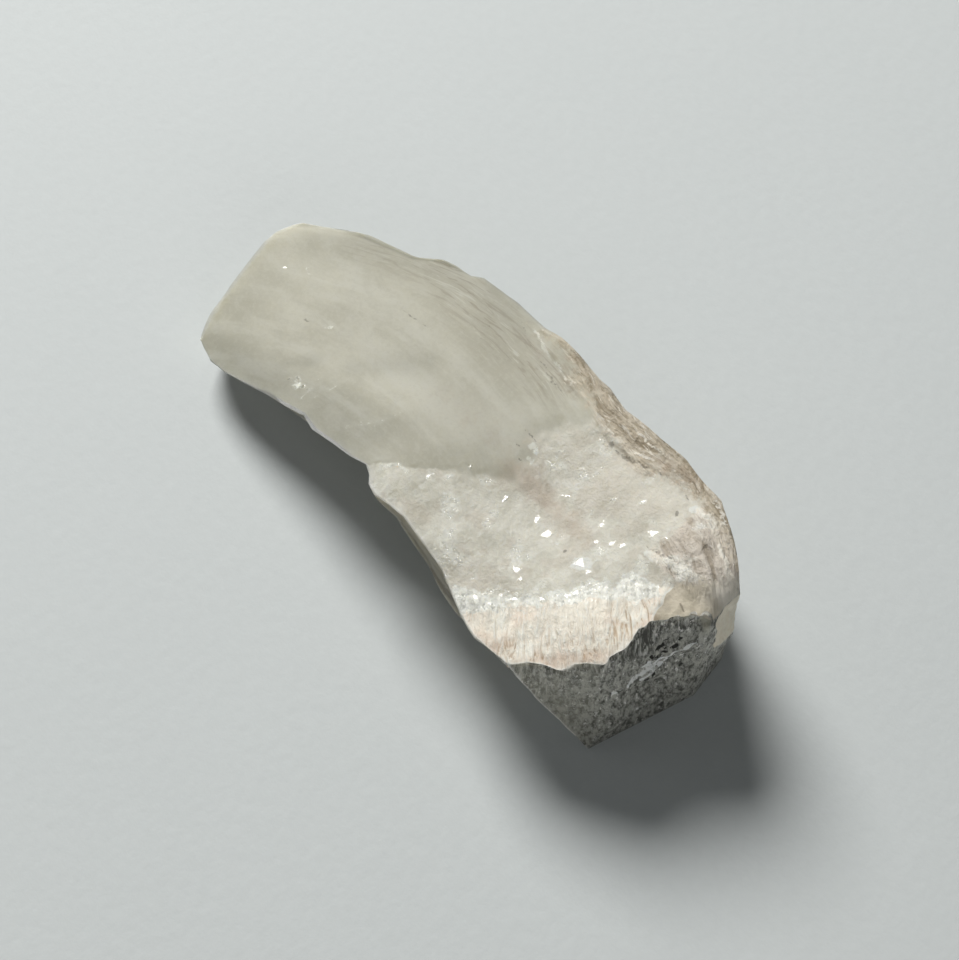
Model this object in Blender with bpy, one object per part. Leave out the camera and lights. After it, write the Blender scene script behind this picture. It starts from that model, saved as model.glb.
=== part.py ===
"""A selenite crystal blade, about 100 x 45 x 27 mm, lying on its flat underside.

Frame: origin under the middle of the piece, +X from the thin tip to the thick broken end,
+Y to the fibrous far side, +Z up.  Lists of sizes are in millimetres; MM turns them into metres.

The body is a loft between unlike sections.  Eleven rails run the length of the piece, from the
tip's fracture to the broken end.  A section joins the rails in order, and its corners are the
crystal's long edges.  Relief, such as the ledge, the hollow and the fibrous ridges, is then
pushed in and out of that loft, and bisecting planes leave the flat cleavage faces.
"""
import bmesh
import bpy
import numpy as np
from mathutils import Vector

MM = 0.001
NAME = "crystal_blade"
COLLECTION = "selenite_crystal_blade"

# ---------------------------------------------------------------- driving dimensions (mm)
SECTIONS = 78                 # rings between the two end faces
TOP_STEPS = (4, 4, 4, 5, 3)   # ring points between the rails of the top, near edge to far edge
SIDE_STEPS = (5, 4)           # far wall, above and below its waist
BASE_STEPS = (4, 4)           # the flat that the piece rests on
NEAR_STEPS = (6, 3)           # undercut near side, below and above its belly
CAP_RINGS = 9                 # rings from the rim of an end face to its middle
RECENTRE = (-0.7, -0.1, 0.0)  # brings the middle of the finished piece's box over the origin

# Each rail is a list of (x, y, z), from the tip to the broken end.
NEAR_EDGE = [
    (-43.8, -15.5, 7.4), (-42.7, -16.0, 7.1), (-39.4, -17.0, 7.6), (-35.3, -17.1, 8.9),
    (-31.6, -16.8, 10.3), (-26.0, -16.1, 12.3), (-21.5, -15.8, 14.0), (-17.6, -15.4, 15.3),
    (-15.9, -15.8, 15.6), (-14.5, -16.2, 15.9), (-10.1, -15.9, 16.9), (-6.3, -15.7, 17.6),
    (-3.2, -15.2, 18.5), (-1.8, -15.9, 18.8), (-0.3, -17.0, 18.9), (1.8, -17.4, 19.1),
    (4.7, -16.9, 18.9), (7.5, -16.8, 18.9), (12.3, -17.6, 18.8), (17.0, -18.4, 18.1),
    (21.1, -20.0, 17.7), (24.0, -21.1, 17.7), (28.0, -22.3, 18.1), (34.3, -22.1, 18.7)]
NEAR_RIDGE = [
    (-46.3, -10.9, 8.7), (-38.9, -13.3, 9.6), (-29.5, -12.2, 13.0), (-15.3, -7.8, 17.3),
    (-6.9, -5.2, 19.0), (2.5, -4.4, 19.7), (12.7, -12.7, 19.3), (23.9, -15.9, 19.2),
    (33.7, -14.2, 20.9), (40.8, -16.2, 21.4)]
MID_LOW = [
    (-47.2, -6.0, 10.3), (-30.0, -3.0, 14.0), (-7.0, 0.5, 18.4), (6.0, 0.5, 19.6),
    (14.5, -7.0, 19.6), (24.2, -8.7, 20.1), (31.0, -10.0, 21.6), (44.5, -14.0, 22.8)]
MID_HIGH = [
    (-48.3, -1.0, 11.2), (-30.0, 5.0, 15.0), (-7.0, 8.0, 18.9), (10.0, 7.0, 20.8),
    (19.0, 2.0, 20.4), (28.0, -1.5, 21.6), (36.0, -3.0, 23.6), (44.8, -5.4, 24.4)]
FAR_SHOULDER = [
    (-49.2, 3.0, 11.8), (-42.6, 10.0, 12.9), (-31.3, 12.2, 15.0), (-19.8, 15.0, 17.1),
    (-7.1, 15.5, 19.1), (8.5, 13.5, 21.1), (18.1, 11.8, 22.4), (30.0, 12.0, 23.8),
    (40.2, 9.3, 25.7), (46.4, 4.6, 26.6), (50.6, 0.8, 26.4)]
FAR_EDGE = [
    (-49.5, 5.3, 11.6), (-48.2, 8.9, 12.0), (-44.4, 11.8, 12.5), (-41.2, 13.5, 13.0),
    (-32.0, 15.8, 14.3), (-28.3, 16.7, 14.9), (-24.7, 19.1, 15.6), (-21.9, 19.9, 16.0),
    (-18.8, 20.4, 16.6), (-16.9, 21.4, 17.1), (-9.0, 21.4, 18.2), (-2.0, 20.5, 19.2),
    (1.0, 20.8, 19.8), (4.4, 20.3, 20.3), (8.0, 19.6, 20.7), (11.0, 18.9, 21.3),
    (13.4, 18.8, 21.6), (18.0, 17.5, 22.3), (22.2, 17.5, 23.0), (30.6, 16.8, 24.0),
    (35.3, 15.6, 24.6), (38.9, 15.1, 25.0), (43.3, 12.4, 25.5), (46.9, 9.7, 25.7),
    (50.3, 6.9, 25.1)]
FAR_WAIST = [
    (-49.6, 6.2, 6.0), (-40.0, 15.2, 7.0), (-25.0, 20.4, 8.0), (-14.0, 22.6, 8.5),
    (0.0, 21.8, 9.0), (15.0, 20.2, 9.5), (30.0, 19.2, 10.0), (42.0, 15.2, 10.5),
    (50.6, 7.0, 12.0)]
FAR_FOOT = [
    (-47.0, 4.0, 0.0), (-38.0, 12.0, 0.0), (-14.0, 19.5, 0.0), (10.0, 18.0, 0.0),
    (32.0, 15.5, 0.0), (44.0, 12.5, 0.0), (49.5, 7.8, 0.0)]
MID_FOOT = [(-46.4, -3.0, 0.0), (50.7, 0.5, 0.0)]
NEAR_FOOT = [
    (-43.5, -9.5, 0.0), (-30.0, -10.0, 0.0), (-3.0, -7.6, 0.0), (15.0, -9.5, 0.0),
    (30.0, -13.0, 0.0), (46.1, -16.8, 0.0)]
NEAR_BELLY = [
    (-44.0, -13.8, 3.7), (-27.8, -14.8, 8.5), (-3.7, -13.3, 13.3), (1.5, -16.7, 16.3),
    (4.2, -17.3, 16.0), (7.3, -17.8, 15.2), (11.3, -18.6, 14.9), (16.9, -19.5, 14.2),
    (19.5, -19.8, 14.1), (22.5, -20.1, 14.1), (26.6, -19.0, 12.1), (38.2, -20.1, 10.1)]
RAILS = (NEAR_EDGE, NEAR_RIDGE, MID_LOW, MID_HIGH, FAR_SHOULDER, FAR_EDGE,
         FAR_WAIST, FAR_FOOT, MID_FOOT, NEAR_FOOT, NEAR_BELLY)

# The two end faces are ruled between an upper and a lower edge, given as (y, x).
TIP_TOP = [(-15.7, -43.6), (-14.1, -44.6), (-12.4, -45.5), (-8.7, -46.8), (-2.1, -48.3), (5.3, -49.5)]
TIP_FOOT = [(-9.5, -43.5), (-3.0, -46.4), (4.0, -47.0)]
END_LIP = [
    (-22.1, 34.3), (-20.4, 35.9), (-19.0, 38.3), (-18.2, 40.5), (-16.3, 41.5), (-14.0, 44.5),
    (-10.3, 45.0), (-7.1, 44.6), (-5.4, 44.8), (-2.6, 46.8), (0.2, 49.0), (1.0, 50.5)]
END_FOOT = [
    (-22.9, 42.4), (-16.8, 46.1), (-13.9, 47.9), (-9.0, 49.0), (-3.1, 50.4), (1.9, 50.7),
    (7.8, 49.5)]
TIP_HEIGHT = 12.0
END_HEIGHT = 24.0
# The broken end's upper edge without the small waves of its lip, which fade out below it.
END_TOP = [(-22.1, 34.9), (-14.0, 43.8), (-5.0, 46.9), (1.0, 50.5)]
LIP_FADE = 6                  # power of the height at which the lip's waves fade downwards

# The ledge where the clean blade is broken down to the sugary zone: its line in plan, (y, x).
LEDGE = [
    (-14.3, -3.5), (-11.8, 0.4), (-9.2, 4.1), (-4.7, 7.9), (-1.7, 11.2), (1.2, 12.3),
    (5.1, 13.5), (9.3, 15.5), (12.5, 15.4)]
LEDGE_DROP = 0.15
LEDGE_FADE = 12.0             # how far past the ledge the floor has risen again
# The crevice below the fibrous ridge of the far side: its line in plan, (x, y).
CREVICE = [
    (-20.0, 17.2), (-2.0, 17.6), (7.6, 15.4), (18.5, 11.4), (24.8, 11.2), (29.7, 12.3),
    (34.5, 13.3), (40.5, 11.0), (48.0, 7.5)]
RIDGE_RISE = 0.4
# The crest that parts the pale rind from the face beside it, which slopes down: (y, x).
ARRIS = [(-9.0, 47.0), (-5.4, 44.8), (-3.5, 43.9), (-0.1, 43.0), (3.0, 42.6)]
FACET_SLOPE = 0.16
# Round lumps and hollows of the top: centre x, y, radii along x and y, height.
LUMPS = [
    (19.0, -3.0, 10.0, 7.0, -1.0),      # the sparkling hollow
    (31.0, 8.5, 7.5, 4.5, 0.6),         # the smooth cream patch
    (41.5, 6.5, 5.0, 4.5, 1.0),         # the folded knob
    (47.0, 6.0, 2.8, 2.5, 0.6),         # its outer fold
    (37.0, -12.0, 7.0, 4.0, 0.8),       # the crown of the pale rind
    (25.0, -18.5, 3.5, 2.0, 0.4)]       # the rind's near shoulder
# Dents of the broken end face: centre y, z, radii along y and z, depth.
END_DENTS = [(-3.5, 15.0, 3.4, 2.2, 0.9), (-6.8, 10.5, 2.6, 1.6, 0.7), (-13.0, 5.0, 3.5, 2.5, -0.4)]
# Flat cleavage faces: a point on each, and the way it faces.
CLEAVAGES = [
    ((-44.0, 0.0, 1.2), (-0.24, 0.0, -0.97)),      # the tip lifts off what the piece lies on
    ((-42.5, 12.9, 9.0), (-0.50, 0.86, 0.10)),     # the tip's far corner
    ((-32.0, 18.0, 9.0), (-0.25, 0.96, -0.05)),    # the far wall towards the tip
    ((20.0, 19.4, 10.0), (0.11, 0.99, 0.06)),      # the far wall towards the broken end
    ((45.0, 13.4, 12.0), (0.55, 0.82, 0.14))]      # the corner beside the broken end


def interp(value, line):
    """Straight-line reading of a list of (place, value) pairs at each value."""
    places, values = np.array(line).T
    return np.interp(value, places, values)


def smooth_step(value):
    """0 below 0, 1 above 1, with an even S between them."""
    clipped = np.clip(value, 0.0, 1.0)
    return clipped * clipped * (3.0 - 2.0 * clipped)


def bump(dx, dy):
    """A round hump, 1 high, that has gone at about twice the radius."""
    return np.exp(-(dx * dx + dy * dy))


def rough(points, size, seed):
    """Smooth noise between -1 and 1: random values on a lattice, blended between its points."""
    lattice = np.random.default_rng(seed).uniform(-1.0, 1.0, (24, 24, 24))
    place = points / size + 100.0
    cell = np.floor(place).astype(int)
    part = smooth_step(place - cell)
    total = np.zeros(len(points))
    for corner in np.ndindex(2, 2, 2):
        index = (cell + corner) % 24
        weight = np.prod(np.where(np.array(corner) == 1, part, 1.0 - part), axis=1)
        total += weight * lattice[index[:, 0], index[:, 1], index[:, 2]]
    return total


# ---------------------------------------------------------------- the loft
def rail_point(rail, station):
    """The point of a rail at a station, 0 at the tip and 1 at the broken end."""
    xs, ys, zs = np.array(rail).T
    x = xs[0] + station * (xs[-1] - xs[0])
    return np.array((x, np.interp(x, xs, ys), np.interp(x, xs, zs)))


def section(station):
    """One ring of points: the rails in order, with even steps between neighbours."""
    corners = [rail_point(rail, station) for rail in RAILS]
    steps = TOP_STEPS + SIDE_STEPS + BASE_STEPS + NEAR_STEPS
    ring = []
    for index, count in enumerate(steps[:len(RAILS)]):
        start = corners[index]
        stop = corners[(index + 1) % len(RAILS)]
        ring += [start + (stop - start) * step / count for step in range(count)]
    return np.array(ring)


def tip_x(ring):
    """x on the tip's fracture, ruled from its lower edge up to its upper edge."""
    rise = np.clip(ring[:, 2] / TIP_HEIGHT, 0.0, 1.0)
    foot = interp(ring[:, 1], TIP_FOOT)
    return foot + (interp(ring[:, 1], TIP_TOP) - foot) * rise


def end_x(ring):
    """x on the broken end, ruled in the same way, with the lip's waves near its top."""
    rise = np.clip(ring[:, 2] / END_HEIGHT, 0.0, 1.0)
    foot = interp(ring[:, 1], END_FOOT)
    top = interp(ring[:, 1], END_TOP)
    waves = interp(ring[:, 1], END_LIP) - top
    return foot + (top - foot) * rise + waves * rise ** LIP_FADE


def cap_rings(rim, face_x):
    """Rings that shrink from the rim of an end face to its middle, all on the ruled face."""
    middle = rim.mean(axis=0)
    gap = rim[:, 0] - face_x(rim)
    rings = []
    for index in range(1, CAP_RINGS):
        size = 1.0 - index / CAP_RINGS
        ring = middle + (rim - middle) * size
        ring[:, 0] = face_x(ring) + gap * size ** 3
        rings.append(ring)
    return rings


def bridge(mesh, first, second):
    """A band of four-sided faces between two rings of the same count."""
    for index in range(len(first)):
        after = (index + 1) % len(first)
        mesh.faces.new((first[index], first[after], second[after], second[index]))


def close(mesh, ring, outward):
    """A flat fan over the innermost ring of an end face."""
    order = ring if outward else list(reversed(ring))
    face = mesh.faces.new(order)
    bmesh.ops.poke(mesh, faces=[face])


def loft_body(mesh):
    """All sections and both end faces, as one closed skin."""
    sections = [section(index / (SECTIONS - 1)) for index in range(SECTIONS)]
    tip = cap_rings(sections[0], tip_x)
    end = cap_rings(sections[-1], end_x)
    rings = tip[::-1] + sections + end
    loops = [[mesh.verts.new(point) for point in ring] for ring in rings]
    for first, second in zip(loops, loops[1:]):
        bridge(mesh, first, second)
    close(mesh, loops[0], False)
    close(mesh, loops[-1], True)
    bmesh.ops.recalc_face_normals(mesh, faces=mesh.faces)


# ---------------------------------------------------------------- relief
def top_relief(p):
    """Height added to the top at each point, from its place in plan."""
    x, y = p[:, 0], p[:, 1]
    height = np.zeros(len(p))
    past_ledge = x - interp(y, LEDGE) + 0.8 * rough(p, 3.0, 3)
    drop = smooth_step(past_ledge / 1.2) * np.exp(-np.maximum(past_ledge, 0.0) / LEDGE_FADE)
    height -= LEDGE_DROP * drop * smooth_step((14.0 - y) / 6.0)
    for centre_x, centre_y, radius_x, radius_y, rise in LUMPS:
        height += rise * bump((x - centre_x) / radius_x, (y - centre_y) / radius_y)
    past_crevice = y - interp(x, CREVICE)
    along = smooth_step((x + 8.0) / 14.0)
    height += RIDGE_RISE * smooth_step(past_crevice / 1.5) * along
    fibrous = smooth_step((past_crevice + 4.0) / 4.0) * (0.3 + 0.7 * along)
    height += 0.45 * fibrous * rough(p * (0.12, 1.0, 0.3), 2.2, 11)
    broken = smooth_step((x - interp(y, LEDGE)) / 3.0) * (1.0 - fibrous)
    height += 0.15 * broken * rough(p, 3.2, 5)
    height += 0.25 * rough(p * (0.6, 1.0, 1.0), 11.0, 7)
    past_arris = np.maximum(x - interp(y, ARRIS), 0.0)
    height -= FACET_SLOPE * past_arris * smooth_step((4.0 - y) / 2.0)
    return height


def wall_relief(p):
    """How far the sides stand out: long striations and cleavage steps that follow the blade."""
    along = p * (0.10, 0.4, 1.0)
    striations = 0.35 * rough(along, 1.9, 21)
    steps = 0.9 * smooth_step(rough(p * (0.16, 0.3, 1.0), 5.0, 23) * 3.0 + 0.5) - 0.45
    return striations + steps


def end_relief(p):
    """How far the broken end stands out: dents, lumps and upright fibres."""
    y, z = p[:, 1], p[:, 2]
    depth = 0.30 * rough(p * (1.0, 1.0, 0.35), 2.4, 31) + 0.35 * rough(p, 6.0, 33)
    for centre_y, centre_z, radius_y, radius_z, dent in END_DENTS:
        depth -= dent * bump((y - centre_y) / radius_y, (z - centre_z) / radius_z)
    return depth


def add_relief(mesh):
    """Move every vertex by the relief of the side it belongs to, and keep the base flat."""
    mesh.normal_update()
    p = np.array([vertex.co for vertex in mesh.verts])
    normal = np.array([vertex.normal for vertex in mesh.verts])
    on_top = smooth_step((normal[:, 2] - 0.25) / 0.5)
    on_end = smooth_step((normal[:, 0] - 0.45) / 0.3)
    on_tip = smooth_step((-normal[:, 0] - 0.45) / 0.3)
    on_wall = np.clip(1.0 - on_top - on_end - on_tip, 0.0, 1.0)
    off_base = smooth_step(p[:, 2] / 2.5)
    shift = np.zeros_like(p)
    shift[:, 2] += top_relief(p) * on_top
    shift += normal * (wall_relief(p) * on_wall * off_base)[:, None]
    shift[:, 0] += end_relief(p) * on_end * off_base
    shift[:, 0] += 0.5 * rough(p * (1.0, 0.7, 1.0), 5.0, 41) * on_tip * off_base
    moved = p + shift
    moved[:, 2] = np.maximum(moved[:, 2], 0.0)
    for vertex, place in zip(mesh.verts, moved):
        vertex.co = place


def cleave(mesh, point, facing):
    """Cut off what stands beyond a plane and close the cut with a flat face."""
    geometry = mesh.verts[:] + mesh.edges[:] + mesh.faces[:]
    cut = bmesh.ops.bisect_plane(mesh, geom=geometry, dist=0.01, plane_co=Vector(point),
                                 plane_no=Vector(facing).normalized(), clear_outer=True)
    rim = [item for item in cut["geom_cut"] if isinstance(item, bmesh.types.BMEdge)]
    bmesh.ops.holes_fill(mesh, edges=rim)


# ---------------------------------------------------------------- the part
def selenite_material():
    """Milky, see-through gypsum with a grey-green cast."""
    material = bpy.data.materials.new("selenite")
    material.use_nodes = True
    shader = material.node_tree.nodes["Principled BSDF"]
    shader.inputs["Base Color"].default_value = (0.62, 0.60, 0.52, 1.0)
    shader.inputs["Roughness"].default_value = 0.35
    shader.inputs["Metallic"].default_value = 0.0
    shader.inputs["IOR"].default_value = 1.52
    shader.inputs["Transmission Weight"].default_value = 0.4
    return material


def crystal_blade():
    """The whole piece, as one closed solid."""
    body = bmesh.new()
    loft_body(body)
    add_relief(body)
    for point, facing in CLEAVAGES:
        cleave(body, point, facing)
    bmesh.ops.remove_doubles(body, verts=body.verts, dist=0.02)
    bmesh.ops.dissolve_degenerate(body, edges=body.edges, dist=0.01)
    bmesh.ops.triangulate(body, faces=body.faces)
    bmesh.ops.recalc_face_normals(body, faces=body.faces)
    bmesh.ops.translate(body, verts=body.verts, vec=RECENTRE)
    bmesh.ops.scale(body, verts=body.verts, vec=(MM, MM, MM))
    mesh = bpy.data.meshes.new(NAME)
    body.to_mesh(mesh)
    body.free()
    mesh.materials.append(selenite_material())
    return bpy.data.objects.new(NAME, mesh)


def main():
    for item in list(bpy.data.objects):
        bpy.data.objects.remove(item, do_unlink=True)
    collection = bpy.data.collections.new(COLLECTION)
    bpy.context.scene.collection.children.link(collection)
    collection.objects.link(crystal_blade())


main()
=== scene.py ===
"""A selenite crystal blade lying on a pale surface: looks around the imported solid.

Sizes in lists are millimetres; MM turns them into metres.  The crystal is one closed surface, a
grid of sections along the blade by points round each section.  Its rails, ledge, lumps and flat
faces repeat the solid's own, and finer relief is added: broken sugary faces, fibres and dents.
"""

import math
from types import SimpleNamespace

import bpy
import numpy as np
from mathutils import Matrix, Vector


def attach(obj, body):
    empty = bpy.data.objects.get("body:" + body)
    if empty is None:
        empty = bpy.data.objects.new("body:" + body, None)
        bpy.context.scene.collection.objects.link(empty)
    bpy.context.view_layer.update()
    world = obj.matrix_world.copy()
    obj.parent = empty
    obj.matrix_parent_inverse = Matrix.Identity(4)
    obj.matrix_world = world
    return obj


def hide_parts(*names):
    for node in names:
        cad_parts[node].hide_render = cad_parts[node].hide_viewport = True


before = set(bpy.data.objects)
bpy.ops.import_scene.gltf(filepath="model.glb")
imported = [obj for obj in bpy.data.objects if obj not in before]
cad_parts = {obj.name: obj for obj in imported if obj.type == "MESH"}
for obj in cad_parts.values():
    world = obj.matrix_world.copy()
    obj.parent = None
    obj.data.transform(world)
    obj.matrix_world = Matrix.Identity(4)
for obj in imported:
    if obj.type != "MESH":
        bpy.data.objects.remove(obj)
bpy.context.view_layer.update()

MM = 0.001

# ---------------- camera, lamps and floor
AIM = np.array((6.70, -2.40, 12.0))       # what the camera looks at, mm
AZIMUTH, ELEVATION = 47.0, 60.0           # degrees
CAMERA_DISTANCE = 280.0                   # mm
LENS = 70.0
LAMP_DISTANCE = 1600.0                    # mm
KEY_FROM = (-0.682, 0.236, 0.692)         # the way to the key lamp
# Each lamp: name, the way to it, size in metres, watts, colour.
LAMPS = [
    ("key", KEY_FROM, 0.75, 32.0, (1.0, 0.99, 0.965)),
    ("fill", (0.82, -0.40, 0.42), 1.03, 4.1, (1.0, 0.99, 0.97)),
    ("side", (-0.80, -0.52, 0.30), 1.07, 1.6, (0.99, 1.0, 1.0))]
SKY = (0.038, 0.042, 0.044)
FLOOR_REACH = 6.0                         # from the middle of the floor to its sides, m


def unit(vector):
    """The vector at length 1; rows are done one by one."""
    vector = np.asarray(vector, float)
    return vector / np.linalg.norm(vector, axis=-1, keepdims=True)


def camera_back():
    """The way from the object to the camera."""
    a, e = math.radians(AZIMUTH), math.radians(ELEVATION)
    return np.array((math.sin(a) * math.cos(e), -math.cos(a) * math.cos(e), math.sin(e)))


def lamp_place(way):
    """Where a lamp stands, in mm."""
    return AIM + unit(way) * LAMP_DISTANCE


CAMERA_AT = AIM + camera_back() * CAMERA_DISTANCE
KEY_AT = lamp_place(KEY_FROM)

# ---------------- the crystal's form (mm)
RECENTRE = np.array((-0.7, -0.1, 0))    # brings the middle of the box over the origin
STATIONS_TIP, STATIONS_BROKEN = 92, 226   # sections on either side of the ledge
LEDGE_STATION = 0.48
TOP_STEPS = (20, 38, 36, 42, 26)          # points between the rails of the top
SIDE_STEPS = (20, 12)
BASE_STEPS = (10, 10)
NEAR_STEPS = (18, 12)
FAR_COLUMN = sum(TOP_STEPS)               # the column of points on the far edge
TIP_RINGS, END_RINGS = 12, 62
EDGE_CROWDING = 1.6                       # how closely the columns crowd at the near edge
SOFTENING = 26                            # rounds of averaging over the top's corners
SHARP_ANGLE = math.radians(32.0)          # edges bent more than this are shaded sharp
BOX_LOW = np.array((-50.12, -22.64, 0.0))     # the finished piece stays between these
BOX_HIGH = np.array((50.10, 22.64, 27.32))

# Rails, (x, y, z) from the tip to the broken end, in order round the section.
NEAR_EDGE = [
    (-43.8, -15.5, 7.4), (-42.7, -16, 7.1), (-39.4, -17, 7.6), (-35.3, -17.1, 8.9),
    (-31.6, -16.8, 10.3), (-26, -16.1, 12.3), (-21.5, -15.8, 14), (-17.6, -15.4, 15.3),
    (-15.9, -15.8, 15.6), (-14.5, -16.2, 15.9), (-10.1, -15.9, 16.9), (-6.3, -15.7, 17.6),
    (-3.2, -15.2, 18.5), (-1.8, -15.9, 18.8), (-0.3, -17, 18.9), (1.8, -17.4, 19.1),
    (4.7, -16.9, 18.9), (7.5, -16.8, 18.9), (12.3, -17.6, 18.8), (17, -18.4, 18.1),
    (21.1, -20, 17.7), (24, -21.1, 17.7), (28, -22.3, 18.1), (34.3, -22.1, 18.7)]
NEAR_RIDGE = [
    (-46.3, -10.9, 8.7), (-38.9, -13.3, 9.6), (-29.5, -12.2, 13), (-15.3, -7.8, 17.3),
    (-6.9, -5.2, 19), (2.5, -4.4, 19.7), (12.7, -12.7, 19.3), (23.9, -15.9, 19.2),
    (33.7, -14.2, 20.9), (40.8, -16.2, 21.4)]
MID_LOW = [
    (-47.2, -6, 10.3), (-30, -3, 14), (-7, 0.5, 18.4), (6, 0.5, 19.6), (14.5, -7, 19.6),
    (24.2, -8.7, 20.1), (31, -10, 21.6), (44.5, -14, 22.8)]
MID_HIGH = [
    (-48.3, -1, 11.2), (-30, 5, 15), (-7, 8, 18.9), (10, 7, 20.8), (19, 2, 20.4), (28, -1.5, 21.6),
    (36, -3, 23.6), (44.8, -5.4, 24.4)]
FAR_SHOULDER = [
    (-49.2, 3, 11.8), (-42.6, 10, 12.9), (-31.3, 12.2, 15), (-19.8, 15, 17.1), (-7.1, 15.5, 19.1),
    (8.5, 13.5, 21.1), (18.1, 11.8, 22.4), (30, 12, 23.8), (40.2, 9.3, 25.7), (46.4, 4.6, 26.6),
    (50.6, 0.8, 26.4)]
FAR_EDGE = [
    (-49.5, 5.3, 11.6), (-48.2, 8.9, 12), (-44.4, 11.8, 12.5), (-41.2, 13.5, 13),
    (-32, 15.8, 14.3), (-28.3, 16.7, 14.9), (-24.7, 19.1, 15.6), (-21.9, 19.9, 16),
    (-18.8, 20.4, 16.6), (-16.9, 21.4, 17.1), (-9, 21.4, 18.2), (-2, 20.5, 19.2), (1, 20.8, 19.8),
    (4.4, 20.3, 20.3), (8, 19.6, 20.7), (11, 18.9, 21.3), (13.4, 18.8, 21.6), (18, 17.5, 22.3),
    (22.2, 17.5, 23), (30.6, 16.8, 24), (35.3, 15.6, 24.6), (38.9, 15.1, 25), (43.3, 12.4, 25.5),
    (46.9, 9.7, 25.7), (50.3, 6.9, 25.1)]
FAR_WAIST = [
    (-49.6, 6.2, 6), (-40, 15.2, 7), (-25, 20.4, 8), (-14, 22.6, 8.5), (0, 21.8, 9),
    (15, 20.2, 9.5), (30, 19.2, 10), (42, 15.2, 10.5), (50.6, 7, 12)]
FAR_FOOT = [
    (-47, 4, 0), (-38, 12, 0), (-14, 19.5, 0), (10, 18, 0), (32, 15.5, 0), (44, 12.5, 0),
    (49.5, 7.8, 0)]
MID_FOOT = [(-46.4, -3, 0), (50.7, 0.5, 0)]
NEAR_FOOT = [
    (-43.5, -9.5, 0), (-30, -10, 0), (-3, -7.6, 0), (15, -9.5, 0), (30, -13, 0), (46.1, -16.8, 0)]
NEAR_BELLY = [
    (-44, -13.8, 3.7), (-27.8, -14.8, 8.5), (-3.7, -13.3, 13.3), (1.5, -16.7, 16.3),
    (4.2, -17.3, 16), (7.3, -17.8, 15.2), (11.3, -18.6, 14.9), (16.9, -19.5, 14.2),
    (19.5, -19.8, 14.1), (22.5, -20.1, 14.1), (26.6, -19, 12.1), (38.2, -20.1, 10.1)]
RAILS = (NEAR_EDGE, NEAR_RIDGE, MID_LOW, MID_HIGH, FAR_SHOULDER, FAR_EDGE,
         FAR_WAIST, FAR_FOOT, MID_FOOT, NEAR_FOOT, NEAR_BELLY)

# The end faces are ruled between a lower and an upper edge, (y, x).
TIP_TOP = [
    (-15.7, -43.6), (-14.1, -44.6), (-12.4, -45.5), (-8.7, -46.8), (-2.1, -48.3), (5.3, -49.5)]
TIP_FOOT = [(-9.5, -43.5), (-3, -46.4), (4, -47)]
END_TOP = [(-22.1, 34.9), (-14, 43.8), (-5, 46.9), (1, 50.5)]
END_LIP = [
    (-22.1, 34.3), (-20.4, 35.9), (-19, 38.3), (-18.2, 40.5), (-16.3, 41.5), (-14, 44.5),
    (-10.3, 45), (-7.1, 44.6), (-5.4, 44.8), (-2.6, 46.8), (0.2, 49), (1, 50.5)]
END_FOOT = [
    (-22.9, 42.4), (-16.8, 46.1), (-13.9, 47.9), (-9, 49), (-3.1, 50.4), (1.9, 50.7), (7.8, 49.5)]
TIP_HEIGHT = 12.0
END_HEIGHT = 24.0
LIP_FADE = 6                  # power of the height at which the lip's waves fade downwards
LIP_REACH = 3.0               # how far back on the top the lip's waves have faded

# The ledge where the clean blade is broken down to the sugary zone: (y, x).
LEDGE = [
    (-14.3, -3.5), (-11.8, 0.4), (-9.2, 4.1), (-4.7, 7.9), (-1.7, 10.4), (1.2, 9.4), (5.1, 8),
    (9.3, 9.5), (12.5, 12)]
LEDGE_DROP = 0.06
LEDGE_FADE = 12.0
# The crevice below the fibrous ridge of the far side: (x, y).
CREVICE = [
    (-20, 17.2), (-2, 17.6), (7.6, 15.4), (18.5, 11.4), (24.8, 11.2), (29.7, 12.3), (34.5, 13.3),
    (40.5, 11), (48, 7.5)]
RIDGE_RISE = 0.4
# Lumps and hollows of the top: centre x, y, radii along x and y, height.
LUMPS = [
    (19, -3, 10, 7, -1), (31, 8.5, 7.5, 4.5, 0.6), (41.5, 6.5, 5, 4.5, 1), (47, 6, 2.8, 2.5, 0.6),
    (37, -12, 7, 4, 0.8), (25, -18.5, 3.5, 2, 0.4)]
# Dents of the broken end: centre y, z, radii along y and z, depth.
END_DENTS = [(-3.5, 15, 3.4, 2.2, 0.9), (-6.8, 10.5, 2.6, 1.6, 0.7), (-13, 5, 3.5, 2.5, -0.4)]
# Flat cleavage faces: a point on each, and the way it faces.
CLEAVAGES = [
    ((-44, 0, 1.2), (-0.24, 0, -0.97)), ((-42.5, 12.9, 9), (-0.50, 0.86, 0.10)),
    ((-32, 18, 9), (-0.25, 0.96, -0.05)), ((20, 19.4, 10), (0.11, 0.99, 0.06)),
    ((45, 13.4, 12), (0.55, 0.82, 0.14))]
# The line that the far side's strands follow: (x, y).
FLOW = [
    (-50, 6), (-40, 11.5), (-30, 15.5), (-18, 18.2), (-6, 18.4), (6, 16.6), (16, 13.6), (26, 12.2),
    (34, 11.8), (41, 9.8), (46, 7), (52, 2)]
# Where the sugary zone turns into the pale rind: (y, x).
RIND_START = [
    (-20.5, 22), (-19, 23), (-17, 25.6), (-14, 28.6), (-10, 32.6), (-6, 36.4), (-1.5, 39.4),
    (0.5, 42.3), (3, 45), (6, 48), (9, 51)]
# The crest that parts the pale rind from the face beside it, which is painted greyer, partly as
# shade: (y, x).
ARRIS = [(-9, 47), (-5.4, 44.8), (-3.5, 43.9), (-0.1, 43), (3, 42.6)]
FACET_SLOPE = 0.16
RIND_ACROSS = (0.682, 0.731)  # the way across the rind's fibres, in plan
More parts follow.
